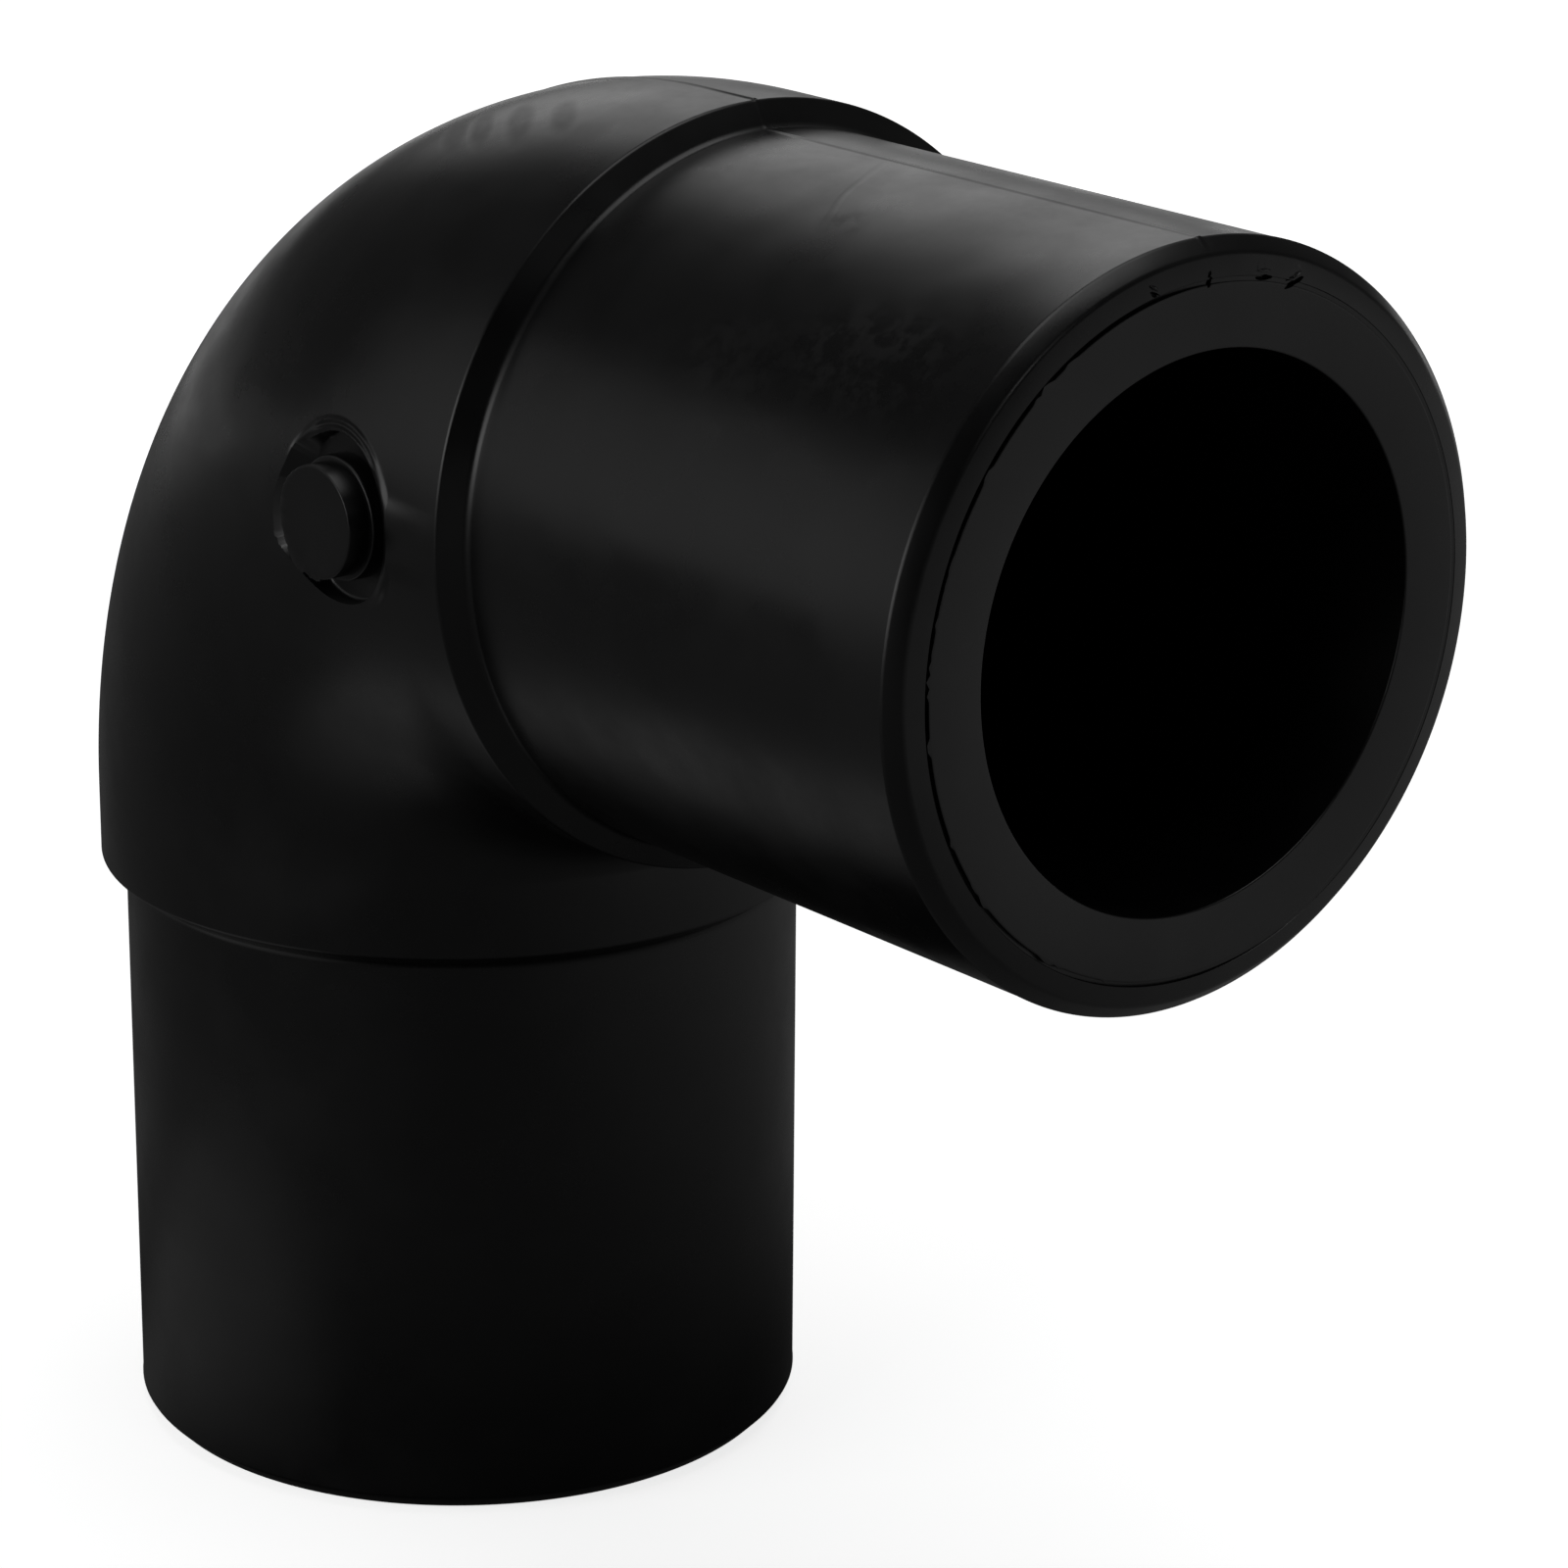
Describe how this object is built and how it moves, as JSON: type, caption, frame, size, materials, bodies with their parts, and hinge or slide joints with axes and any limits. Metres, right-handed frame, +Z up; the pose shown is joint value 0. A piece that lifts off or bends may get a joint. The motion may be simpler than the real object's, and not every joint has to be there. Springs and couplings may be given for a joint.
{
  "type": "long-spigot pipe elbow",
  "caption": "Right-angle elbow in black polyethylene with a shouldered body and two long plain spigots for fusion or compression joints.",
  "frame": {"origin": "centre of the lower spigot's end face, where the elbow stands", "axes": "+Z up the lower leg, +X along the side leg towards its end; the gate mark is on the -Y flank"},
  "size_m": [0.189, 0.0991, 0.189],
  "materials": {
    "black_polyethylene": "moulded, half matt, with a waxy sheen"
  },
  "bodies": {
    "root": {"elbow": "black_polyethylene"}
  },
  "joints": []
}
